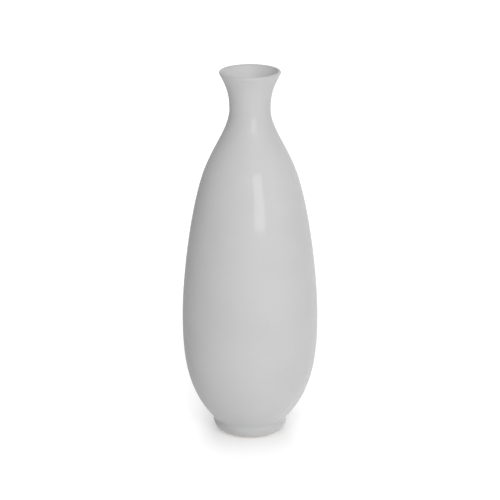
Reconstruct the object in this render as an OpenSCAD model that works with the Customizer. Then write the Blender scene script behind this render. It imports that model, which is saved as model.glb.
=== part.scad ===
// Slender ceramic bud vase with a flared lip, a narrow neck and a low turned foot.
// The clay is one fired shell. It wears three coats of glaze, one outside, one inside and one
// under the foot, and it stands on four silicone grip dots.
// Millimetres, +Z up. The origin is on the vase's axis, level with what the vase stands on.

/* [Body] */
// Height from the foot ring's underside to the top of the lip
vase_h = 225; // [210:1:245]
// Diameter of the belly at its widest
belly_d = 82; // [74:1:90]
// Height of the belly's widest point above the foot ring's underside
belly_z = 71.5; // [62:0.5:80]
// Diameter of the shoulder
shoulder_d = 55.8; // [50:0.2:60]
// Height of the shoulder above the foot ring's underside
shoulder_z = 163; // [152:0.5:172]
// Slope of the shoulder, in degrees above level
shoulder_slope = 70.5; // [66:0.5:78]

/* [Neck and lip] */
// Diameter of the neck at its narrowest
neck_d = 24.3; // [20:0.1:28]
// Distance from the neck's narrowest point up to the top of the lip
neck_drop = 22.5; // [17:0.5:26]
// Diameter across the lip
lip_d = 36.2; // [32:0.2:42]
// Slope of the wall where it ends in the lip, in degrees above level
lip_slope = 63; // [55:1:80]

/* [Foot] */
// Diameter of the turned foot
foot_d = 45; // [40:0.5:50]
// Height of the turned foot, up to where the belly leaves it
foot_h = 8.25; // [7.75:0.25:10]
// Radius of the foot's outer bottom edge
foot_edge_r = 6.75; // [4:0.25:7]
// Slope of the wall where it leaves the foot, in degrees above level
foot_slope = 49; // [44:1:54]
// Radius of the hollow where the foot's upright side turns into the wall
foot_hollow_r = 3; // [1:0.5:4]
// Width of the foot ring's flat underside
ring_w = 5.6; // [5.6:0.1:7]
// Depth of the recess inside the foot ring
recess_depth = 3; // [2.5:0.25:3.5]

/* [Wall] */
// Thickness of the clay in the belly
belly_wall = 3; // [2.5:0.1:4]
// Thickness of the clay in the neck
neck_wall = 2.6; // [2:0.1:3]
// Thickness of the clay at the lip
lip_wall = 1.2; // [1:0.1:2]
// Thickness of the clay floor
floor_wall = 3.5; // [3:0.1:5]
// Thickness of each coat of glaze
glaze = 0.35; // [0.2:0.05:0.5]

/* [Grip dots] */
// Diameter of each silicone dot
dot_d = 5; // [4:0.25:5.5]
// Thickness of each silicone dot
dot_h = 1; // [0.8:0.1:1.5]

/* [Hidden] */
$fn = 128;

clay_colour = [0.86, 0.84, 0.80];
glaze_colour = [0.80, 0.80, 0.80];
dot_colour = [0.90, 0.91, 0.92];

// Steps along each curve of the wall, and along each small rounded edge
CURVE_STEPS = 12;
EDGE_STEPS = 6;

// Each curve is pulled along its two end slopes for these shares of its height, and the floor's
// for these shares of the way to its bend
BELLY_PULLS = [0.36, 0.42];
SHOULDER_PULLS = [0.31, 0.23];
NECK_PULLS = [0.46, 0.30];
LIP_PULLS = [0.50, 0.30];
FLOOR_PULLS = [0.6, 0.9];

// The outer coat stops this many degrees round the foot's bottom edge, which leaves the ring bare
GLAZE_STOP = 30;
// The coat in the recess stops at this height, and the ring's inner edge is rounded off below it
recess_bare_h = 1;
ring_edge_r = 0.5;
recess_corner_r = 1.5;

// A dot's lower edge is rounded to this radius
dot_edge_r = 0.3;
DOT_COUNT = 4;

// Vectors in the profile plane: x is the radius and y is the height above the foot ring's underside
function along(slope) = [cos(slope), sin(slope)];
function left_of(v) = [-v[1], v[0]] / norm(v);
function reversed(points) = [for (i = [len(points) - 1:-1:0]) points[i]];
function tail(points) = [for (i = [1:len(points) - 1]) points[i]];

// Point and direction on a cubic curve c at the share t of its length
function curve_point(c, t) =
    pow(1 - t, 3) * c[0] + 3 * pow(1 - t, 2) * t * c[1] + 3 * (1 - t) * t * t * c[2] + t * t * t * c[3];
function curve_direction(c, t) =
    pow(1 - t, 2) * (c[1] - c[0]) + 2 * (1 - t) * t * (c[2] - c[1]) + t * t * (c[3] - c[2]);

// Points along a curve, moved to its left by a depth that runs evenly from d0 to d1
function inset(c, d0, d1) = [
    for (i = [0:CURVE_STEPS])
        let (t = i / CURVE_STEPS)
        curve_point(c, t) + (d0 + (d1 - d0) * t) * left_of(curve_direction(c, t))
];

function arc(centre, r, a0, a1) = [
    for (i = [0:EDGE_STEPS]) centre + r * along(a0 + (a1 - a0) * i / EDGE_STEPS)
];

// The lip is half round. Its centre sets where the outside of the wall ends
lip_r = lip_wall / 2 + glaze;
lip_centre = [lip_d / 2 - lip_r, vase_h - lip_r];

// The foot's upright side meets the wall's slope at its corner, which the hollow rounds out. The
// hollow's centre lies outside the wall, and the wall's first curve starts where the hollow ends
hollow_reach = foot_hollow_r * (1 - sin(foot_slope)) / cos(foot_slope);
hollow_centre = [foot_d / 2 + foot_hollow_r, foot_h - hollow_reach];

// The points that the outside of the glazed wall passes through
foot_point = [foot_d / 2, foot_h] + hollow_reach * along(foot_slope);
belly_point = [belly_d / 2, belly_z];
shoulder_point = [shoulder_d / 2, shoulder_z];
neck_point = [neck_d / 2, vase_h - neck_drop];
lip_point = lip_centre + lip_r * along(lip_slope - 90);

// A curve that leaves p at slope a, arrives at q at slope b, and is pulled by two shares of its height
function wall_curve(p, a, q, b, pulls) =
    let (rise = q[1] - p[1])
    [p, p + pulls[0] * rise * along(a), q - pulls[1] * rise * along(b), q];

belly_curve = wall_curve(foot_point, foot_slope, belly_point, 90, BELLY_PULLS);
shoulder_curve = wall_curve(belly_point, 90, shoulder_point, 180 - shoulder_slope, SHOULDER_PULLS);
neck_curve = wall_curve(shoulder_point, 180 - shoulder_slope, neck_point, 90, NECK_PULLS);
lip_curve = wall_curve(neck_point, 90, lip_point, lip_slope, LIP_PULLS);

// The whole wall from the foot to the lip, at depths given for the belly, the neck and the lip
function wall(belly, neck, lip) = concat(
    inset(belly_curve, belly, belly),
    tail(inset(shoulder_curve, belly, belly)),
    tail(inset(neck_curve, belly, neck)),
    tail(inset(lip_curve, neck, lip))
);
function outer_wall(depth) = wall(depth, depth, depth);
function inner_wall(depth) =
    wall(glaze + belly_wall + depth, glaze + neck_wall + depth, glaze + lip_wall + depth);

// The inside floor is a shallow bowl that runs into the wall. The bend is where its level would
// meet the wall's slope, and the curve is pulled towards it from both ends
floor_centre = [0, recess_depth + glaze + floor_wall];
floor_rim = inner_wall(0)[0];
floor_bend = floor_rim - (floor_rim[1] - floor_centre[1]) / sin(foot_slope) * along(foot_slope);
floor_curve = [
    floor_centre,
    floor_centre + FLOOR_PULLS[0] * (floor_bend - floor_centre),
    floor_rim + FLOOR_PULLS[1] * (floor_bend - floor_rim),
    floor_rim
];
function inside(depth) = concat(inset(floor_curve, depth, depth), tail(inner_wall(depth)));

// The foot's round bottom edge, the upright above it, and the hollow where the wall begins
foot_edge_centre = [foot_d / 2 - foot_edge_r, foot_edge_r - glaze];
function foot_side(depth) = concat(
    arc(foot_edge_centre, foot_edge_r - depth, GLAZE_STOP - 90, 0),
    arc(hollow_centre, foot_hollow_r + depth, 180, 90 + foot_slope)
);
bare_edge = arc(foot_edge_centre, foot_edge_r - glaze, -90, GLAZE_STOP - 90);

// The recess inside the foot ring, from the axis out and down to where its glaze stops
ring_inner_r = foot_edge_centre[0] - ring_w;
recess_r = ring_inner_r - ring_edge_r - glaze;
recess_corner = [recess_r - recess_corner_r, recess_depth - recess_corner_r];
function recess(depth) = concat(
    [[0, recess_depth + depth]],
    arc(recess_corner, recess_corner_r + depth, 90, 0),
    [[recess_r + depth, recess_bare_h]]
);
ring_inner_edge = arc([ring_inner_r, ring_edge_r], ring_edge_r, 180, 270);

// The round lip, from the outside of the wall over its crest to the inside
function lip(r) = arc(lip_centre, r, lip_slope - 90, lip_slope + 90);

dot_ring_r = foot_edge_centre[0] - ring_w / 2;

// Turns a profile round the vase's axis and stands it on the grip dots
module turned(profile) {
    translate([0, 0, dot_h])
        rotate_extrude()
            polygon(profile);
}

// The fired clay shell: foot ring, floor, belly, shoulder, neck and lip in one piece
module clay_body() {
    color(clay_colour)
        turned(concat(
            recess(glaze),
            ring_inner_edge,
            bare_edge,
            tail(foot_side(glaze)),
            tail(outer_wall(glaze)),
            tail(lip(lip_wall / 2)),
            tail(reversed(inside(0)))
        ));
}

// The coat on the outside, from just above the bare foot ring up and over the round of the lip
module outer_glaze() {
    color(glaze_colour)
        turned(concat(
            foot_side(0),
            tail(outer_wall(0)),
            tail(lip(lip_r)),
            reversed(lip(lip_wall / 2)),
            tail(reversed(outer_wall(glaze))),
            tail(reversed(foot_side(glaze)))
        ));
}

// The coat on the inside, from the edge of the outer coat down over the floor
module inner_glaze() {
    color(glaze_colour)
        turned(concat(inside(glaze), reversed(inside(0))));
}

// The coat in the recess under the foot
module base_glaze() {
    color(glaze_colour)
        turned(concat(recess(0), reversed(recess(glaze))));
}

// One silicone dot under the foot ring, in the gap between two quarter points
module grip_dot(number) {
    color(dot_colour)
        rotate([0, 0, (number - 0.5) * 360 / DOT_COUNT])
            translate([dot_ring_r, 0, 0])
                rotate_extrude()
                    polygon(concat(
                        [[0, 0]],
                        arc([dot_d / 2 - dot_edge_r, dot_edge_r], dot_edge_r, -90, 0),
                        [[dot_d / 2, dot_h], [0, dot_h]]
                    ));
}

clay_body();
outer_glaze();
inner_glaze();
base_glaze();
grip_dot(1);  // grip_dot_1
grip_dot(2);  // grip_dot_2
grip_dot(3);  // grip_dot_3
grip_dot(4);  // grip_dot_4
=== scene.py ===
# %% [markdown]
# # A ceramic bud vase
# The real vase is one hollow shell of fired clay. Three coats of glaze cover it: one on the
# outside, one inside, and one in the recess under the foot. Four silicone dots keep the bare foot
# ring off the table. Each of these is a piece of its own here.
#
# The frame is the finished engineering model. It sets every size, and the pieces made below stand
# in for its plain ones without moving or resizing anything.

# %% Load the fixed frame
import math

import bpy
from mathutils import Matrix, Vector


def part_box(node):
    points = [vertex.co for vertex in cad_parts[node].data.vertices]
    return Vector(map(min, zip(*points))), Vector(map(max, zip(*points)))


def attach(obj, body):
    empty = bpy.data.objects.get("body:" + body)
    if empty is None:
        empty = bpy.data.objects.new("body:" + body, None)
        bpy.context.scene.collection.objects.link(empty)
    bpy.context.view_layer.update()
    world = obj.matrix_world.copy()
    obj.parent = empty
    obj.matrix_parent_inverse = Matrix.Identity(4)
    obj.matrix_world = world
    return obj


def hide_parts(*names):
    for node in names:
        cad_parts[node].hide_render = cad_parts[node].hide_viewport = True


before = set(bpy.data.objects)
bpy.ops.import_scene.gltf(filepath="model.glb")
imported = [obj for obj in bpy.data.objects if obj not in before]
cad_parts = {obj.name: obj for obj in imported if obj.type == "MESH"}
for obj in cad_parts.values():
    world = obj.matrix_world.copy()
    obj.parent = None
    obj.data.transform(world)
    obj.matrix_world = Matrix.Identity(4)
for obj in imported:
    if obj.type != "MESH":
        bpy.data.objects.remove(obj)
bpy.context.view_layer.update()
MM = 0.001
print("frame nodes:", sorted(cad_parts))

# %% [markdown]
# ## The sizes of the vase
# A potter works from a handful of sizes: how tall, how wide at the belly, the shoulder, the neck
# and the lip, and how steep the wall runs at a few places. A few of them are read from the boxes of
# the frame's pieces. The rest are the engineering model's own driving sizes, written again in
# metres.

# %% Sizes of the vase
dot_low, dot_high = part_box("grip_dot_1")
coat_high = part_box("outer_glaze")[1]
clay_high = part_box("clay_body")[1]

stand_h = dot_high.z                       # the foot ring's underside, on top of the dots
lip_z = coat_high.z                        # the top of the lip
belly_r = coat_high.x
coat = coat_high.x - clay_high.x           # thickness of each coat of glaze

foot_r, foot_h, foot_slope = 22.5 * MM, 8.25 * MM, 49
foot_edge_r, foot_hollow_r = 6.75 * MM, 3 * MM
belly_z = 71.5 * MM
shoulder_r, shoulder_z, shoulder_slope = 27.9 * MM, 163 * MM, 70.5
neck_r, neck_drop = 12.15 * MM, 22.5 * MM
lip_outer_r, lip_slope = 18.1 * MM, 63
belly_wall, neck_wall, lip_wall, floor_wall = 3 * MM, 2.6 * MM, 1.2 * MM, 3.5 * MM
ring_w, recess_depth, recess_bare_h = 5.6 * MM, 3 * MM, 1 * MM
ring_edge_r, recess_corner_r = 0.5 * MM, 1.5 * MM
glaze_stop = 30                            # degrees round the foot's bottom edge left bare

# Each of the wall's cubics is pulled along its two end slopes for these shares of its rise, and the
# floor's for these shares of the way to its bend
belly_pulls, shoulder_pulls = (0.36, 0.42), (0.31, 0.23)
neck_pulls, lip_pulls, floor_pulls = (0.46, 0.30), (0.50, 0.30), (0.6, 0.9)

print(f"vase {(lip_z - stand_h) / MM:.1f} mm tall on dots {stand_h / MM:.1f} mm thick,",
      f"belly {2 * belly_r / MM:.1f} mm, each coat {coat / MM:.2f} mm")

# %% [markdown]
# ## Drawing the section
# Anything that turns on a wheel is known by half of its section: a line in the plane of radius and
# height. It could be drawn by hand as a curve. Here it is worked out from the sizes, as a chain of
# cubic curves and arcs, because the clay and its coats then share one wall and meet exactly.
# A cubic is four points: its start, the two it is pulled towards, and its end. Each is cut into
# short steps, fine where the surface shows and coarse where another piece hides it.

# %% Helpers for slopes and cubics
FINE, COARSE = 1.0 * MM, 2.5 * MM
EDGE_STEPS = 10


def along(slope):
    """A unit step at a slope in degrees above level, away from the axis."""
    return Vector((math.cos(math.radians(slope)), math.sin(math.radians(slope))))


def level(z):
    """A height above the foot ring's underside, as a height above the table."""
    return stand_h + z


def wall_curve(p, slope_p, q, slope_q, pulls):
    """A cubic that leaves p and reaches q at given slopes, pulled by two shares of its rise."""
    rise = q.y - p.y
    return [p, p + pulls[0] * rise * along(slope_p), q - pulls[1] * rise * along(slope_q), q]


def cut(curve, spacing, depth=0.0, end_depth=None):
    """Points along a cubic, moved into the wall by a depth that runs evenly from end to end."""
    p, a, b, q = curve
    end_depth = depth if end_depth is None else end_depth
    steps = math.ceil((q - p).length / spacing)
    points = []
    for i in range(steps + 1):
        t = i / steps
        u = 1 - t
        place = u**3 * p + 3 * u * u * t * a + 3 * u * t * t * b + t**3 * q
        ahead = u * u * (a - p) + 2 * u * t * (b - a) + t * t * (q - b)
        inwards = Vector((-ahead.y, ahead.x)).normalized()
        points.append(place + (depth + (end_depth - depth) * t) * inwards)
    return points


print(f"cubics are cut into steps of {FINE / MM} mm where they show, and {COARSE / MM} mm elsewhere")

# %% [markdown]
# Round edges are arcs, cut into the same number of steps whatever their size, and flat stretches
# are straight lines. A whole section is such lines laid end to end, so each point where two of them
# meet must be kept only once.

# %% Helpers for arcs, straight lines and joining
SAME_PLACE = 0.001 * MM


def arc(centre, r, start, end, steps=EDGE_STEPS):
    return [centre + r * along(start + (end - start) * i / steps) for i in range(steps + 1)]


def straight(p, q, spacing):
    steps = math.ceil((q - p).length / spacing)
    return [p.lerp(q, i / steps) for i in range(steps + 1)]


def joined(*lines):
    """One line from several, without the points where one ends on the next one's start."""
    points = []
    for line in lines:
        points += [p for p in line if not points or (p - points[-1]).length > SAME_PLACE]
    return points


print("a round edge has", EDGE_STEPS, "steps")

# %% [markdown]
# ## The wall, the lip and the foot
# The outside runs from the turned foot through a small hollow, out to the belly, in over the
# shoulder to the neck, and out again to the lip. The lip is a half round. The foot's bottom edge
# is a large round too, and the glaze stops part of the way round it, so that the ring stays bare.

# %% The wall's curves
lip_r = lip_wall / 2 + coat
lip_centre = Vector((lip_outer_r - lip_r, lip_z - lip_r))
hollow_reach = foot_hollow_r * (1 - along(foot_slope).y) / along(foot_slope).x
hollow_centre = Vector((foot_r + foot_hollow_r, level(foot_h) - hollow_reach))
foot_edge_centre = Vector((foot_r - foot_edge_r, level(foot_edge_r) - coat))

foot_top = Vector((foot_r, level(foot_h))) + hollow_reach * along(foot_slope)
belly = Vector((belly_r, level(belly_z)))
shoulder = Vector((shoulder_r, level(shoulder_z)))
neck = Vector((neck_r, lip_z - neck_drop))
lip_start = lip_centre + lip_r * along(lip_slope - 90)

wall_curves = [
    wall_curve(foot_top, foot_slope, belly, 90, belly_pulls),
    wall_curve(belly, 90, shoulder, 180 - shoulder_slope, shoulder_pulls),
    wall_curve(shoulder, 180 - shoulder_slope, neck, 90, neck_pulls),
    wall_curve(neck, 90, lip_start, lip_slope, lip_pulls),
]
print("the wall is", len(wall_curves), "cubics, from the foot to the lip")

# %% [markdown]
# The clay and each coat of glaze follow those same curves at other depths. So one helper gives the
# wall's line at any depth, and two more give the lip and the foot's side.

# %% The wall, the lip and the foot at any depth
def wall(spacing, at_belly, at_neck, at_lip):
    """The wall's line at depths below the glazed outside, which change from shoulder to lip."""
    depths = [at_belly, at_belly, at_belly, at_neck, at_lip]
    lines = [cut(c, spacing, a, b) for c, a, b in zip(wall_curves, depths, depths[1:])]
    return joined(*lines)


def outer_wall(spacing, depth):
    return wall(spacing, depth, depth, depth)


def inner_wall(spacing, depth):
    """The inside of the clay, or a coat on it where depth is above 0."""
    skin = coat + depth
    return wall(spacing, skin + belly_wall, skin + neck_wall, skin + lip_wall)


def lip(r):
    return arc(lip_centre, r, lip_slope - 90, lip_slope + 90, 2 * EDGE_STEPS)


def foot_side(depth):
    """The foot's rounded edge from where the glaze stops, its side, and the hollow above it."""
    edge = arc(foot_edge_centre, foot_edge_r - depth, glaze_stop - 90, 0)
    hollow = arc(hollow_centre, foot_hollow_r + depth, 180, 90 + foot_slope)
    return joined(edge, straight(edge[-1], hollow[0], FINE), hollow)


print("the outside wall is", len(outer_wall(FINE, 0)), "points long")

# %% [markdown]
# The inside floor is a shallow bowl that runs into the wall, and the recess is a flat disc with a
# rounded corner and an upright edge.

# %% The floor and the recess
floor_centre = Vector((0, level(recess_depth + coat + floor_wall)))
floor_rim = inner_wall(COARSE, 0)[0]
floor_bend = floor_rim - (floor_rim.y - floor_centre.y) / along(foot_slope).y * along(foot_slope)
floor_curve = [floor_centre, floor_centre.lerp(floor_bend, floor_pulls[0]),
               floor_rim.lerp(floor_bend, floor_pulls[1]), floor_rim]

ring_inner_r = foot_edge_centre.x - ring_w
recess_r = ring_inner_r - ring_edge_r - coat
recess_corner = Vector((recess_r - recess_corner_r, level(recess_depth - recess_corner_r)))


def inside(spacing, depth):
    return joined(cut(floor_curve, spacing, depth), inner_wall(spacing, depth))


def recess(spacing, depth):
    """The recess from the axis out, and down its side to where its glaze stops."""
    corner = arc(recess_corner, recess_corner_r + depth, 90, 0)
    centre = Vector((0, level(recess_depth) + depth))
    stop = Vector((recess_r + depth, level(recess_bare_h)))
    return joined(straight(centre, corner[0], spacing), corner, [stop])


print(f"foot ring {ring_w / MM:.1f} mm wide round a recess {2 * recess_r / MM:.1f} mm across")

# %% [markdown]
# ## Helpers for node trees
# Both the shapes and the finishes below are node trees that the script builds. Wiring them by hand
# takes three lines a node, so these helpers make a node, set it up and link it in one.

# %% Helpers that make nodes
def add(tree, kind, values=(), **settings):
    """Makes a node, sets its properties, then sets or links its inputs by name or place."""
    made = tree.nodes.new(kind)
    for name, value in settings.items():
        setattr(made, name, value)
    for place, value in dict(values).items():
        if isinstance(value, bpy.types.NodeSocket):
            tree.links.new(value, made.inputs[place])
        else:
            made.inputs[place].default_value = value
    return made


def maths(tree, operation, *values):
    return add(tree, "ShaderNodeMath", enumerate(values), operation=operation).outputs[0]


def vectors(tree, operation, *values):
    places = [0, "Scale"] if operation == "SCALE" else range(len(values))
    made = add(tree, "ShaderNodeVectorMath", zip(places, values), operation=operation)
    return made.outputs["Value" if operation == "DOT_PRODUCT" else "Vector"]


def ramp(tree, value, low, high, to_low=0.0, to_high=1.0):
    """Turns a value that runs from low to high into a smooth change from to_low to to_high."""
    return add(tree, "ShaderNodeMapRange", {
        "Value": value, 1: low, 2: high, 3: to_low, 4: to_high,
    }, interpolation_type="SMOOTHSTEP").outputs["Result"]


def new_tree(name, kind, inputs, outputs):
    """A node group with named sockets, each given as (name, type, default)."""
    tree = bpy.data.node_groups.new(name, kind)
    for direction, sockets in (("INPUT", inputs), ("OUTPUT", outputs)):
        for socket_name, socket_type, *default in sockets:
            socket = tree.interface.new_socket(
                socket_name, in_out=direction, socket_type="NodeSocket" + socket_type)
            if default:
                socket.default_value = default[0]
    return tree, tree.nodes.new("NodeGroupInput").outputs, tree.nodes.new("NodeGroupOutput").inputs


print("node helpers:", add.__name__, maths.__name__, vectors.__name__, ramp.__name__)

# %% [markdown]
# ## The wheel
# A lathe is a rule: every point of the section goes once round the axis. The Screw modifier does
# this too, but a Geometry Nodes tree can also add what the hand and the kiln leave behind. Here the
# section is swept round a circle. Then each point is moved a little: a slow wander keeps the vase
# from being perfectly round, the lip rises and falls by a hair, fine spiral marks stay from the
# turning tool, and melted glaze stops in a thick roll.

# %% The wheel turns a section
HUB = 0.1                                  # the sweep's circle, in metres; it drops out again
WELD = 0.003 * MM                          # points nearer to each other than this are joined
SHARP = math.radians(32)                   # a bend of more than this stays a crisp edge
LIP_BAND = 12 * MM                         # the lip's rise fades out this far below it
SWELL_SHARE = 0.3                          # the share of the roll's width in which it swells up

wheel, given, result = new_tree("Potter's wheel", "GeometryNodeTree", [
    ("Geometry", "Geometry"),
    ("Section", "Object"),
    ("Steps round", "Int", 240),
    ("Out of round", "Float", 0.0),
    ("Wander size", "Float", 0.1),
    ("Wander seed", "Float", 0.0),
    ("Lip height", "Float", 1.0),
    ("Lip rise", "Float", 0.0),
    ("Tool mark depth", "Float", 0.0),
    ("Tool mark spacing", "Float", 0.001),
    ("Roll height", "Float", 0.0),
    ("Roll width", "Float", 0.001),
    ("Surface", "Material"),
], [("Geometry", "Geometry")])

drawn = add(wheel, "GeometryNodeObjectInfo", {"Object": given["Section"]})
run = add(wheel, "GeometryNodeSplineParameter").outputs["Length"]
line = add(wheel, "GeometryNodeStoreNamedAttribute", {
    "Geometry": drawn.outputs["Geometry"], "Name": "run", "Value": run})
stood = add(wheel, "GeometryNodeTransform", {
    "Geometry": line.outputs[0], "Translation": (-HUB, 0, 0), "Rotation": (math.pi / 2, 0, 0)})
circle = add(wheel, "GeometryNodeCurvePrimitiveCircle", {
    "Resolution": given["Steps round"], "Radius": HUB})
hub = add(wheel, "GeometryNodeSetCurveNormal", {"Curve": circle.outputs["Curve"]}, mode="Z_UP")
swept = add(wheel, "GeometryNodeCurveToMesh", {
    "Curve": hub.outputs[0], "Profile Curve": stood.outputs[0]})
outwards = add(wheel, "GeometryNodeFlipFaces", {"Mesh": swept.outputs[0]})
closed = add(wheel, "GeometryNodeMergeByDistance", {
    "Geometry": outwards.outputs[0], "Distance": WELD})
print("swept with", len(wheel.nodes), "nodes")

# %% [markdown]
# The marks are all small moves of the finished points. Wander scales each slice of the vase, so it
# fades out by itself towards the axis. It and the lip's rise depend only on the place, so the clay
# and its coats move as one.

# %% The wheel adds the marks of making
place = add(wheel, "GeometryNodeInputPosition").outputs[0]
x, y, z = add(wheel, "ShaderNodeSeparateXYZ", {0: place}).outputs
angle = maths(wheel, "ARCTAN2", y, x)
flat_place = vectors(wheel, "MULTIPLY", place, (1, 1, 0))

scaled = vectors(wheel, "SCALE", place, maths(wheel, "DIVIDE", 1.0, given["Wander size"]))
slow = add(wheel, "ShaderNodeTexNoise", {
    "Vector": scaled, "W": given["Wander seed"], "Scale": 1.0, "Detail": 1.0,
}, noise_dimensions="4D").outputs["Fac"]
drift = maths(wheel, "SUBTRACT", slow, 0.5)
wander = vectors(wheel, "SCALE", flat_place,
                 maths(wheel, "MULTIPLY", drift, given["Out of round"]))

near_lip = ramp(wheel, z, maths(wheel, "SUBTRACT", given["Lip height"], LIP_BAND),
                given["Lip height"])
rise = maths(wheel, "MULTIPLY", maths(wheel, "MULTIPLY", near_lip, given["Lip rise"]), drift)
lift = add(wheel, "ShaderNodeCombineXYZ", {"Z": rise}).outputs[0]

run_here = add(wheel, "GeometryNodeInputNamedAttribute", {"Name": "run"}).outputs["Attribute"]
turns = maths(wheel, "DIVIDE", run_here, given["Tool mark spacing"])
wave = maths(wheel, "SINE", maths(wheel, "MULTIPLY_ADD", turns, 2 * math.pi, angle))
marks = maths(wheel, "MULTIPLY", wave, given["Tool mark depth"])

crest = maths(wheel, "MULTIPLY", given["Roll width"], SWELL_SHARE)
swell = ramp(wheel, run_here, 0.0, crest)
fade = ramp(wheel, run_here, crest, given["Roll width"], 1.0, 0.0)
roll = maths(wheel, "MULTIPLY", maths(wheel, "MULTIPLY", swell, fade), given["Roll height"])

facing = add(wheel, "GeometryNodeInputNormal").outputs["Normal"]
skin_move = vectors(wheel, "SCALE", facing, maths(wheel, "ADD", marks, roll))
move = vectors(wheel, "ADD", vectors(wheel, "ADD", wander, lift), skin_move)
moved = add(wheel, "GeometryNodeSetPosition", {"Geometry": closed.outputs[0], "Offset": move})
print("marks added, now", len(wheel.nodes), "nodes")

# %% [markdown]
# The tree ends by shading smooth except across sharp corners, by dropping its helper values, and
# with Realize Instances and Set Material, so that what comes out is plain mesh.

# %% The wheel finishes the mesh
smooth = add(wheel, "GeometryNodeSetShadeSmooth", {"Geometry": moved.outputs[0]})
bend = add(wheel, "GeometryNodeInputMeshEdgeAngle").outputs["Unsigned Angle"]
gentle = maths(wheel, "LESS_THAN", bend, SHARP)
creased = add(wheel, "GeometryNodeSetShadeSmooth", {
    "Geometry": smooth.outputs[0], "Shade Smooth": gentle}, domain="EDGE")
dropped = add(wheel, "GeometryNodeRemoveAttribute", {
    "Geometry": creased.outputs[0], "Name": "run"})
real = add(wheel, "GeometryNodeRealizeInstances", {"Geometry": dropped.outputs[0]})
surfaced = add(wheel, "GeometryNodeSetMaterial", {
    "Geometry": real.outputs[0], "Material": given["Surface"]})
wheel.links.new(surfaced.outputs[0], result["Geometry"])
print("the wheel has", len(wheel.nodes), "nodes")

# %% [markdown]
# ## Working the wheel
# A section goes in as a curve object and comes out as a plain mesh: the tree runs as a modifier, its
# result is copied, and then the modifier and the curve are removed. Each section is drawn up the
# outside and back down the inside, which is what makes its faces point outwards.

# %% Helpers that turn a section into a piece
def draw_section(points, closed):
    drawing = bpy.data.curves.new("section", "CURVE")
    drawing.dimensions = "3D"
    line = drawing.splines.new("POLY")
    line.points.add(len(points) - 1)
    line.points.foreach_set("co", [v for p in points for v in (p.x, 0, p.y, 1)])
    line.use_cyclic_u = closed
    drawn = bpy.data.objects.new("section", drawing)
    bpy.context.scene.collection.objects.link(drawn)
    return drawn


def turn(name, tree, section, surface, **sizes):
    """Runs a node tree on a section. Words in a size's name are joined by _ in place of spaces."""
    piece = bpy.data.objects.new(name, bpy.data.meshes.new(name))
    bpy.context.scene.collection.objects.link(piece)
    modifier = piece.modifiers.new("Wheel", "NODES")
    modifier.node_group = tree
    values = {"Section": section, "Surface": surface}
    values |= {word.replace("_", " "): value for word, value in sizes.items()}
    for socket in tree.interface.items_tree:
        if socket.in_out == "INPUT" and socket.name in values:
            modifier[socket.identifier] = values.pop(socket.name)
    assert not values, f"the tree has no input named {sorted(values)}"
    shown = piece.evaluated_get(bpy.context.evaluated_depsgraph_get())
    mesh = bpy.data.meshes.new_from_object(shown)
    piece.modifiers.clear()
    piece.data = mesh
    mesh.name = name
    bpy.data.objects.remove(section)
    return piece


def report(piece, *nodes):
    """Prints a piece's size in faces, and how far its box is from the boxes it stands for."""
    low = [min(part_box(n)[0][i] for n in nodes) for i in range(3)]
    high = [max(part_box(n)[1][i] for n in nodes) for i in range(3)]
    off = max(max(abs(min(v.co[i] for v in piece.data.vertices) - low[i]),
                  abs(max(v.co[i] for v in piece.data.vertices) - high[i])) for i in range(3))
    tris = sum(len(p.vertices) - 2 for p in piece.data.polygons)
    print(f"{piece.name}: {tris} triangles, its box within {off / MM:.2f} mm of the frame's")


# %% [markdown]
# ## Finishes, and what they share
# Four effects turn up in more than one finish, so each is a node group with named inputs. Clouding
# is the soft drift of tone in a glaze. Grain is the fine stipple of a fired or moulded skin.
# Specks are the few dark grains that come through. A level band picks out a height on the vase,
# such as the lip, which gets painted shade, or the hollow above the foot, where glaze gathers and
# painted shade darkens it too. They read object coordinates, so sizes are real sizes.

# %% Clouding and grain
DIM, LIGHT = 0.3, 0.7                      # most of a noise's values lie between these
PATCH_SIZE = 9.0                           # a patch of coarser grain is this many grains across


def noise(tree, place, size, detail=2.0, roughness=0.5):
    """Noise whose patches are about as large as the given size."""
    scaled = vectors(tree, "SCALE", place, maths(tree, "DIVIDE", 1.0, size))
    return add(tree, "ShaderNodeTexNoise", {
        "Vector": scaled, "Scale": 1.0, "Detail": detail, "Roughness": roughness,
    }).outputs["Fac"]


clouding, given, result = new_tree("Clouding", "ShaderNodeTree", [
    ("Place", "Vector"), ("Size", "Float", 0.03), ("Fine size", "Float", 0.002),
    ("Fine share", "Float", 0.3),
], [("Mask", "Float")])
broad = ramp(clouding, noise(clouding, given["Place"], given["Size"]), DIM, LIGHT)
fine = ramp(clouding, noise(clouding, given["Place"], given["Fine size"]), DIM, LIGHT)
clouding.links.new(add(clouding, "ShaderNodeMix", {
    0: given["Fine share"], 2: broad, 3: fine}).outputs[0], result["Mask"])

grain, given, result = new_tree("Grain", "ShaderNodeTree", [
    ("Place", "Vector"), ("Size", "Float", 0.001), ("Unevenness", "Float", 0.5),
], [("Height", "Float")])
stipple = noise(grain, given["Place"], given["Size"], detail=3.0, roughness=0.6)
patchy = noise(grain, given["Place"], maths(grain, "MULTIPLY", given["Size"], PATCH_SIZE))
steadied = add(grain, "ShaderNodeMix", {0: given["Unevenness"], 2: 0.5, 3: patchy}).outputs[0]
grain.links.new(maths(grain, "MULTIPLY", stipple, steadied), result["Height"])
print("groups:", clouding.name, "and", grain.name)

# %% [markdown]
# Specks are cells of a Voronoi pattern. Each cell has a random colour, which decides whether it
# holds a speck at all and how large that is.

# %% Specks and level bands
WAVER_SIZE = 12 * MM                       # a level band's edge wavers in waves about this long

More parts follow.
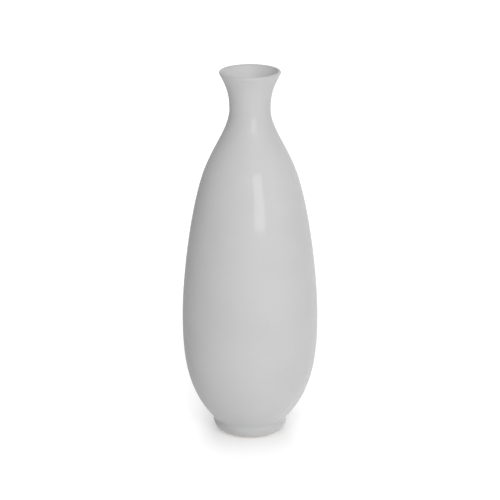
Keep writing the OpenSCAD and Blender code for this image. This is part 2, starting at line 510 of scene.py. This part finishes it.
specks, given, result = new_tree("Specks", "ShaderNodeTree", [
    ("Place", "Vector"), ("Spacing", "Float", 0.006), ("Share", "Float", 0.3),
    ("Size", "Float", 0.0004),
], [("Mask", "Float")])
scaled = vectors(specks, "SCALE", given["Place"], maths(specks, "DIVIDE", 1.0, given["Spacing"]))
cells = add(specks, "ShaderNodeTexVoronoi", {"Vector": scaled, "Scale": 1.0})
split = add(specks, "ShaderNodeSeparateXYZ", {0: cells.outputs["Color"]})
chance, largeness = split.outputs[:2]
radius = maths(specks, "MULTIPLY", largeness,
               maths(specks, "DIVIDE", given["Size"], given["Spacing"]))
speck = ramp(specks, cells.outputs["Distance"], maths(specks, "MULTIPLY", radius, 0.5),
             radius, 1.0, 0.0)
held = maths(specks, "LESS_THAN", chance, given["Share"])
specks.links.new(maths(specks, "MULTIPLY", speck, held), result["Mask"])

level_band, given, result = new_tree("Level band", "ShaderNodeTree", [
    ("Place", "Vector"), ("Level", "Float", 0.0), ("Reach", "Float", 0.005),
    ("Waver", "Float", 0.0),
], [("Mask", "Float")])
height = add(level_band, "ShaderNodeSeparateXYZ", {0: given["Place"]}).outputs["Z"]
drift = maths(level_band, "SUBTRACT", noise(level_band, given["Place"], WAVER_SIZE), 0.5)
drifting = maths(level_band, "MULTIPLY_ADD", drift, given["Waver"], height)
away = maths(level_band, "ABSOLUTE", maths(level_band, "SUBTRACT", drifting, given["Level"]))
level_band.links.new(ramp(level_band, away, 0.0, given["Reach"], 1.0, 0.0), result["Mask"])
print("groups:", specks.name, "and", level_band.name)

# %% [markdown]
# ## Helpers for a finish
# A material here is a Principled shader, one place to read from, and effects laid over each other.

# %% Helpers for materials
def new_finish(name, **shader_values):
    """A material, its tree, its Principled shader and the object's own coordinates."""
    material = bpy.data.materials.new(name)
    material.use_nodes = True
    tree = material.node_tree
    tree.nodes.clear()
    shader = add(tree, "ShaderNodeBsdfPrincipled")
    for word, value in shader_values.items():
        shader.inputs[word.replace("_", " ")].default_value = value
    add(tree, "ShaderNodeOutputMaterial", {"Surface": shader.outputs[0]})
    return material, tree, shader, add(tree, "ShaderNodeTexCoord").outputs["Object"]


def effect(tree, group, place, **values):
    """Places one of the shared groups and returns its only output."""
    made = add(tree, "ShaderNodeGroup", node_tree=group)
    tree.links.new(place, made.inputs["Place"])
    for word, value in values.items():
        made.inputs[word.replace("_", " ")].default_value = value
    return made.outputs[0]


print("each finish starts as one Principled shader that reads the object's own coordinates")

# %% [markdown]
# Colours are laid over each other as a decorator lays washes: each is held back by a mask, and by a
# strength. Relief goes into the shader's normal, because these marks are finer than any face of the
# mesh.

# %% Helpers for colour and relief
def over(tree, share, under, top):
    """Lays a colour over another by a share from 0 to 1."""
    return add(tree, "ShaderNodeMix", {0: share, 6: under, 7: top}, data_type="RGBA").outputs[2]


def marked(tree, mask, strength, under, top):
    """Lays a colour over another where a mask is, at most at the given strength."""
    return over(tree, maths(tree, "MULTIPLY", mask, strength), under, top)


def grey(tone):
    return (tone, tone, tone, 1)


def tinted(tone, red, green, blue):
    return (tone * red, tone * green, tone * blue, 1)


def bump(tree, shader, height, depth, normal=None):
    """Feeds a height from 0 to 1 to the shader's normal, as relief of the given depth."""
    made = add(tree, "ShaderNodeBump", {"Height": height, "Distance": depth, "Strength": 1.0})
    if normal is not None:
        tree.links.new(normal, made.inputs["Normal"])
    tree.links.new(made.outputs[0], shader.inputs["Normal"])
    return made.outputs[0]


print("colour and relief helpers:", marked.__name__, tinted.__name__, bump.__name__)

# %% [markdown]
# ## The glaze
# The glaze is a stiff, opaque pale grey glass. It has no metal and no grain of its own: its looks
# come from a smooth, slightly rippled skin, a faint drift of tone, painted shade that darkens the
# top of the lip, and a darker band in the hollow above the foot, partly glaze that gathers there and
# partly painted shade. Here and there a speck of iron shows, and a pinhole where a bubble healed.
# All three coats are the same glaze with other values.

# %% The glaze finishes
def glaze_finish(name, tone, roughness, ripple, cloud_size):
    material, tree, shader, place = new_finish(name, IOR=1.52)
    clouds = effect(tree, clouding, place, Size=cloud_size, Fine_size=1.6 * MM, Fine_share=0.25)
    colour = over(tree, clouds, grey(tone * 0.975), grey(tone * 1.02))
    # Painted shade, with glaze that gathers thicker there: the hollow above the foot is darkened
    pooled_glaze_and_shade = effect(tree, level_band, place, Level=level(foot_h), Reach=7 * MM, Waver=3 * MM)
    colour = marked(tree, pooled_glaze_and_shade, 0.3, colour, tinted(tone, 0.96, 0.97, 0.98))
    # Painted shade: the top of the lip is darkened against the light it catches from above
    painted_lip_shade = effect(tree, level_band, place, Level=lip_z, Reach=1.4 * MM, Waver=0.6 * MM)
    colour = marked(tree, painted_lip_shade, 0.8, colour, tinted(tone, 0.90, 0.90, 0.89))
    iron = effect(tree, specks, place, Spacing=9 * MM, Share=0.3, Size=0.45 * MM)
    colour = marked(tree, iron, 0.35, colour, tinted(tone, 0.55, 0.5, 0.46))
    tree.links.new(colour, shader.inputs["Base Color"])

    skin = effect(tree, clouding, place, Size=18 * MM, Fine_size=0.9 * MM, Fine_share=0.4)
    rough = ramp(tree, skin, 0.0, 1.0, to_low=roughness * 0.85, to_high=roughness * 1.2)
    tree.links.new(rough, shader.inputs["Roughness"])

    rippled = bump(tree, shader, effect(tree, grain, place, Size=2.4 * MM, Unevenness=0.6), ripple)
    pinholes = effect(tree, specks, place, Spacing=14 * MM, Share=0.25, Size=0.3 * MM)
    bump(tree, shader, maths(tree, "MULTIPLY", pinholes, -1.0), 0.05 * MM, rippled)
    print(f"{name}: {len(tree.nodes)} nodes, tone {tone}, roughness {roughness}")
    return material


GLAZE_TONE = 0.46
outer_finish = glaze_finish("Pale grey glaze", GLAZE_TONE, 0.065, 0.004 * MM, 30 * MM)
inner_finish = glaze_finish("Inside glaze", GLAZE_TONE * 1.05, 0.2, 0.006 * MM, 20 * MM)
base_finish = glaze_finish("Recess glaze", GLAZE_TONE * 0.96, 0.25, 0.01 * MM, 9 * MM)

# %% [markdown]
# ## The bare clay
# Only the foot ring shows the clay, a fine off-white body fired hard. It is matt, with a sandy
# grain and a few grains of grog. The heat leaves a warmer line where the glaze begins. The rings
# that the turning tool leaves are real geometry, so they aren't painted here.

# %% The bare clay finish
def clay_finish(name):
    material, tree, shader, place = new_finish(name, IOR=1.45)
    shader.inputs["Specular IOR Level"].default_value = 0.3
    clouds = effect(tree, clouding, place, Size=8 * MM, Fine_size=0.5 * MM, Fine_share=0.5)
    colour = over(tree, clouds, tinted(0.66, 1.03, 1.0, 0.94), tinted(0.74, 1.02, 1.0, 0.955))
    toasted = effect(tree, level_band, place, Level=level(0.35 * MM), Reach=0.5 * MM,
                     Waver=0.25 * MM)
    colour = marked(tree, toasted, 0.45, colour, tinted(0.5, 1.2, 1.0, 0.8))
    grog = effect(tree, specks, place, Spacing=1.5 * MM, Share=0.4, Size=0.35 * MM)
    colour = marked(tree, grog, 0.5, colour, tinted(0.45, 1.1, 1.0, 0.85))
    tree.links.new(colour, shader.inputs["Base Color"])

    sandy = effect(tree, grain, place, Size=0.35 * MM, Unevenness=0.4)
    rough = ramp(tree, sandy, 0.0, 0.6, to_low=0.72, to_high=0.92)
    tree.links.new(rough, shader.inputs["Roughness"])
    bump(tree, shader, sandy, 0.06 * MM)
    print(f"{name}: {len(tree.nodes)} nodes")
    return material


bare_clay = clay_finish("Fired clay")

# %% [markdown]
# ## The silicone
# Grip dots are cut or moulded from milky clear silicone. They look whitish, their skin is satin,
# and they pick up lint, which the dust specks stand for.

# %% The silicone finish
def silicone_finish(name):
    material, tree, shader, place = new_finish(name, IOR=1.41)
    clouds = effect(tree, clouding, place, Size=3 * MM, Fine_size=0.4 * MM, Fine_share=0.3)
    colour = over(tree, clouds, tinted(0.74, 0.98, 1.0, 1.01), tinted(0.82, 0.98, 1.0, 1.01))
    lint = effect(tree, specks, place, Spacing=0.9 * MM, Share=0.35, Size=0.2 * MM)
    colour = marked(tree, lint, 0.5, colour, tinted(0.5, 1.0, 0.98, 0.94))
    tree.links.new(colour, shader.inputs["Base Color"])
    skin = effect(tree, grain, place, Size=0.25 * MM, Unevenness=0.5)
    rough = ramp(tree, skin, 0.0, 0.6, to_low=0.38, to_high=0.6)
    tree.links.new(rough, shader.inputs["Roughness"])
    bump(tree, shader, skin, 0.015 * MM)
    print(f"{name}: {len(tree.nodes)} nodes")
    return material


silicone = silicone_finish("Milky silicone")

# %% [markdown]
# ## Turning the clay shell
# The shell is one line that starts and ends on the axis: out under the recess, over the foot ring,
# up the outside, over the lip, and down the inside to the middle of the floor. The ring is drawn in
# short steps, because the rings of the turning tool show on it. The glaze hides the rest.

# %% The clay shell
RING_STEP = 0.1 * MM
WANDER = dict(Out_of_round=0.006, Wander_size=0.07, Wander_seed=4.0,
              Lip_height=lip_z, Lip_rise=0.35 * MM)

ring_inner = arc(Vector((ring_inner_r, level(ring_edge_r))), ring_edge_r, 180, 270)
bare_edge = arc(foot_edge_centre, foot_edge_r - coat, -90, glaze_stop - 90)
clay_line = joined(
    recess(COARSE, coat),
    ring_inner,
    straight(ring_inner[-1], bare_edge[0], RING_STEP),
    bare_edge,
    foot_side(coat),
    outer_wall(COARSE, coat),
    lip(lip_wall / 2),
    inside(COARSE, 0)[::-1],
)
clay_shell = turn("clay_shell", wheel, draw_section(clay_line, closed=False), bare_clay,
                  Tool_mark_depth=0.012 * MM, Tool_mark_spacing=0.55 * MM, **WANDER)
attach(clay_shell, "root")
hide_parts("clay_body")
report(clay_shell, "clay_body")

# %% [markdown]
# ## The outside coat
# Melted glaze bites a little into the clay, so the coat's hidden side lies just below the clay's
# surface, and no light can pass between them. Its lower edge is round, and just above that edge it
# swells into the thick roll that shows where a glaze stopped running.

# %% The outside coat of glaze
BITE = 0.04 * MM

edge_r = (coat + BITE) / 2
edge_centre = foot_edge_centre + (foot_edge_r - edge_r) * along(glaze_stop - 90)
lower_edge = arc(edge_centre, edge_r, glaze_stop + 90, glaze_stop + 270)

outer_line = joined(
    foot_side(0),
    outer_wall(FINE, 0),
    lip(lip_r),
    lip(lip_wall / 2 - BITE)[::-1],
    outer_wall(COARSE, coat + BITE)[::-1],
    foot_side(coat + BITE)[::-1],
    lower_edge[:-1],
)
outer_coat = turn("outer_coat", wheel, draw_section(outer_line, closed=True), outer_finish,
                  Roll_height=0.12 * MM, Roll_width=1.6 * MM,
                  Tool_mark_depth=0.002 * MM, Tool_mark_spacing=7 * MM, **WANDER)
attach(outer_coat, "root")
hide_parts("outer_glaze")
report(outer_coat, "outer_glaze")

# %% [markdown]
# ## The inside coat
# The inside is glazed by filling the vase and pouring the glaze out again. The coat runs from the
# edge of the outside coat, at the inner edge of the lip, down over the whole floor.

# %% The inside coat of glaze
INSIDE_STEP = 1.5 * MM
inner_line = joined(inside(COARSE, -BITE), inside(INSIDE_STEP, coat)[::-1])
inner_coat = turn("inner_coat", wheel, draw_section(inner_line, closed=False), inner_finish,
                  Tool_mark_depth=0.01 * MM, Tool_mark_spacing=8 * MM, **WANDER)
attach(inner_coat, "root")
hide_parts("inner_glaze")
report(inner_coat, "inner_glaze")

# %% [markdown]
# ## The coat in the recess
# A dab of glaze seals the underside inside the foot ring. The rings that turning left in the clay
# still show through it, softened.

# %% The coat of glaze in the recess
RECESS_STEP = 0.15 * MM
base_line = joined(recess(RECESS_STEP, 0), recess(COARSE, coat + BITE)[::-1])
base_coat = turn("base_coat", wheel, draw_section(base_line, closed=False), base_finish,
                 Tool_mark_depth=0.02 * MM, Tool_mark_spacing=1.1 * MM, **WANDER)
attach(base_coat, "root")
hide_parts("base_glaze")
report(base_coat, "base_glaze")

# %% [markdown]
# ## The grip dots
# The four dots are the same turned shape, so the wheel's tree is used again, inside a second tree
# that carries the dot out to the foot ring and round to its bearing. Under the vase's weight a dot
# bulges a little at its sides, which is drawn into its section.

# %% The grip dots' tree
DOT_OUT_OF_ROUND, DOT_WANDER_SIZE = 0.04, 3 * MM

dotter, given, result = new_tree("Grip dot", "GeometryNodeTree", [
    ("Geometry", "Geometry"),
    ("Section", "Object"),
    ("Steps round", "Int", 64),
    ("Wander seed", "Float", 0.0),
    ("Distance out", "Float", 0.01),
    ("Bearing", "Float", 0.0),
    ("Surface", "Material"),
], [("Geometry", "Geometry")])
one_dot = add(dotter, "GeometryNodeGroup", node_tree=wheel)
for name in ("Section", "Steps round", "Wander seed", "Surface"):
    dotter.links.new(given[name], one_dot.inputs[name])
one_dot.inputs["Out of round"].default_value = DOT_OUT_OF_ROUND
one_dot.inputs["Wander size"].default_value = DOT_WANDER_SIZE
out = add(dotter, "ShaderNodeCombineXYZ", {"X": given["Distance out"]}).outputs[0]
carried = add(dotter, "GeometryNodeTransform", {
    "Geometry": one_dot.outputs[0], "Translation": out})
bearing = add(dotter, "ShaderNodeCombineXYZ", {"Z": given["Bearing"]}).outputs[0]
brought = add(dotter, "GeometryNodeTransform", {
    "Geometry": carried.outputs[0], "Rotation": bearing})
real = add(dotter, "GeometryNodeRealizeInstances", {"Geometry": brought.outputs[0]})
dotted = add(dotter, "GeometryNodeSetMaterial", {
    "Geometry": real.outputs[0], "Material": given["Surface"]})
dotter.links.new(dotted.outputs[0], result["Geometry"])
print("the dots' tree has", len(dotter.nodes), "nodes, and the wheel is one of them")

# %% [markdown]
# The dots sit in the gaps between the quarter points of the ring, where the frame has them. Each
# gets its own seed, so that no two bulge quite alike. A loop makes the four, since only the bearing
# and the seed change.

# %% The four grip dots
DOT_COUNT = 4
dot_middle = (dot_low + dot_high) / 2
dot_ring_r = math.hypot(dot_middle.x, dot_middle.y)
first_bearing = math.atan2(dot_middle.y, dot_middle.x)
dot_r, dot_edge_r, dot_bulge = 2.5 * MM, 0.3 * MM, 0.05 * MM

side = [Vector((dot_r - dot_bulge + dot_bulge * math.sin(math.pi * i / EDGE_STEPS),
                dot_edge_r + (stand_h - 2 * dot_edge_r) * i / EDGE_STEPS))
        for i in range(EDGE_STEPS + 1)]
round_centre_r = dot_r - dot_bulge - dot_edge_r
dot_line = joined(
    [Vector((0, 0))],
    arc(Vector((round_centre_r, dot_edge_r)), dot_edge_r, -90, 0),
    side,
    arc(Vector((round_centre_r, stand_h - dot_edge_r)), dot_edge_r, 0, 90),
    [Vector((0, stand_h))],
)
for i in range(DOT_COUNT):
    dot = turn(f"silicone_dot_{i + 1}", dotter, draw_section(dot_line, closed=False), silicone,
               Wander_seed=10.0 + i, Distance_out=dot_ring_r,
               Bearing=first_bearing + i * 2 * math.pi / DOT_COUNT)
    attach(dot, "root")
    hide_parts(f"grip_dot_{i + 1}")
    report(dot, f"grip_dot_{i + 1}")

# %% [markdown]
# ## The camera
# The camera stands in front of the vase and above it, looks down a little, and has a long lens, so
# that the upright lines stay nearly parallel.

# %% The camera
CAMERA_AWAY, CAMERA_UP = 1.08, 0.4830      # in metres from the axis and above the table
LOOKS_DOWN = 18.78                         # in degrees
LENS = 136.69                              # in millimetres, on Blender's usual 36 mm sensor
camera = bpy.data.objects.new("camera", bpy.data.cameras.new("camera"))
camera.data.lens = LENS
camera.location = (0, -CAMERA_AWAY, CAMERA_UP)
camera.rotation_euler = (math.radians(90 - LOOKS_DOWN), 0, 0)
bpy.context.scene.collection.objects.link(camera)
bpy.context.scene.camera = camera
print(f"camera {CAMERA_AWAY} m away, looking down {LOOKS_DOWN} degrees")

# %% [markdown]
# ## The floor
# A wide sheet of matt white acrylic with the faintest tooth, lit a little from below as a light
# table is. The glow keeps the shadow under the foot pale and lifts the foot's underside. The sheet
# is left out of reflections, so that the glaze shows only the softbox and the studio.

# %% The floor
FLOOR_REACH = 6.0                          # in metres, from the axis to each side
FLOOR_GLOW = 0.2
corners = [(-1, -1, 0), (1, -1, 0), (1, 1, 0), (-1, 1, 0)]
board = bpy.data.meshes.new("floor")
board.from_pydata([[c * FLOOR_REACH for c in corner] for corner in corners], [], [(0, 1, 2, 3)])
floor = bpy.data.objects.new("floor", board)
floor.visible_glossy = False
bpy.context.scene.collection.objects.link(floor)

white_board, tree, shader, place = new_finish("White board", Roughness=0.9,
                                              Specular_IOR_Level=0.1, Emission_Color=grey(1),
                                              Emission_Strength=FLOOR_GLOW)
tooth = effect(tree, grain, place, Size=4 * MM, Unevenness=0.3)
board_colour = over(tree, tooth, grey(0.9), grey(0.93))
tree.links.new(board_colour, shader.inputs["Base Color"])
board.materials.append(white_board)
print(f"floor {2 * FLOOR_REACH} m square")

# %% [markdown]
# ## The light
# The room itself is soft and white. One tall softbox stands near the camera on the right and makes
# the upright highlight. The broad ones in front, above and behind only fill, so they are hidden
# from reflections.

# %% The softboxes
def softbox(name, bearing, climb, distance, width, height, power, in_glaze=False):
    """An area light aimed at the vase. Its bearing, to the right of the camera, and its climb are
    in degrees, its sizes in metres and its power in watts."""
    light = bpy.data.lights.new(name, "AREA")
    light.shape, light.size, light.size_y, light.energy = "RECTANGLE", width, height, power
    box = bpy.data.objects.new(name, light)
    turn_by, rise = math.radians(bearing), math.radians(climb)
    away = Vector((math.sin(turn_by) * math.cos(rise), -math.cos(turn_by) * math.cos(rise),
                   math.sin(rise)))
    aim = Vector((0, 0, AIM_H))
    box.location = aim + distance * away
    box.rotation_euler = (-away).to_track_quat("-Z", "Y").to_euler()
    box.visible_glossy = in_glaze
    box.visible_camera = False
    bpy.context.scene.collection.objects.link(box)
    return box


AIM_H = 0.155                              # the height on the vase that every box is aimed at
softbox("highlight_box", bearing=19.5, climb=16, distance=1.6, width=0.60, height=0.80, power=2.5,
        in_glaze=True)
softbox("front_fill", bearing=5, climb=35, distance=1.8, width=1.2, height=1.2, power=19.1)
softbox("top_fill", bearing=0, climb=89, distance=1.8, width=1.6, height=1.6, power=15.4)
softbox("back_fill", bearing=180, climb=35, distance=1.8, width=1.2, height=1.2, power=12.0)

# %% [markdown]
# The world has three jobs. To the camera it is plain white behind the floor. To rays that gather
# soft light it is an even room. To rays that the glaze reflects it is a long gradient, bright on
# the right, a little darker behind than in front, and nearly black on the left, as a black flag
# beside a vase makes it. The flag is what draws the thin dark line down the left edge.

# %% The studio around
ROOM, SHEEN, BACKDROP = 0.256, 0.89, 1.2
SHEEN_SLOPE = (0.82, -0.3, -0.05)
studio = bpy.data.worlds.new("studio")
bpy.context.scene.world = studio
studio.use_nodes = True
tree = studio.node_tree
tree.nodes.clear()
looking = add(tree, "ShaderNodeTexCoord").outputs["Generated"]
sheen = maths(tree, "ADD", vectors(tree, "DOT_PRODUCT", looking, SHEEN_SLOPE), SHEEN)
ray = add(tree, "ShaderNodeLightPath").outputs


def pick(share, under, top):
    return add(tree, "ShaderNodeMix", {0: share, 2: under, 3: top}).outputs[0]


strength = pick(ray["Is Camera Ray"], pick(ray["Is Glossy Ray"], ROOM, sheen), BACKDROP)
around = add(tree, "ShaderNodeBackground", {"Color": grey(1), "Strength": strength})
add(tree, "ShaderNodeOutputWorld", {"Surface": around.outputs[0]})
bpy.context.scene.view_settings.view_transform = "Standard"
print("room", ROOM, "and sheen from", round(SHEEN - Vector(SHEEN_SLOPE).length, 2), "to",
      round(SHEEN + Vector(SHEEN_SLOPE).length, 2))
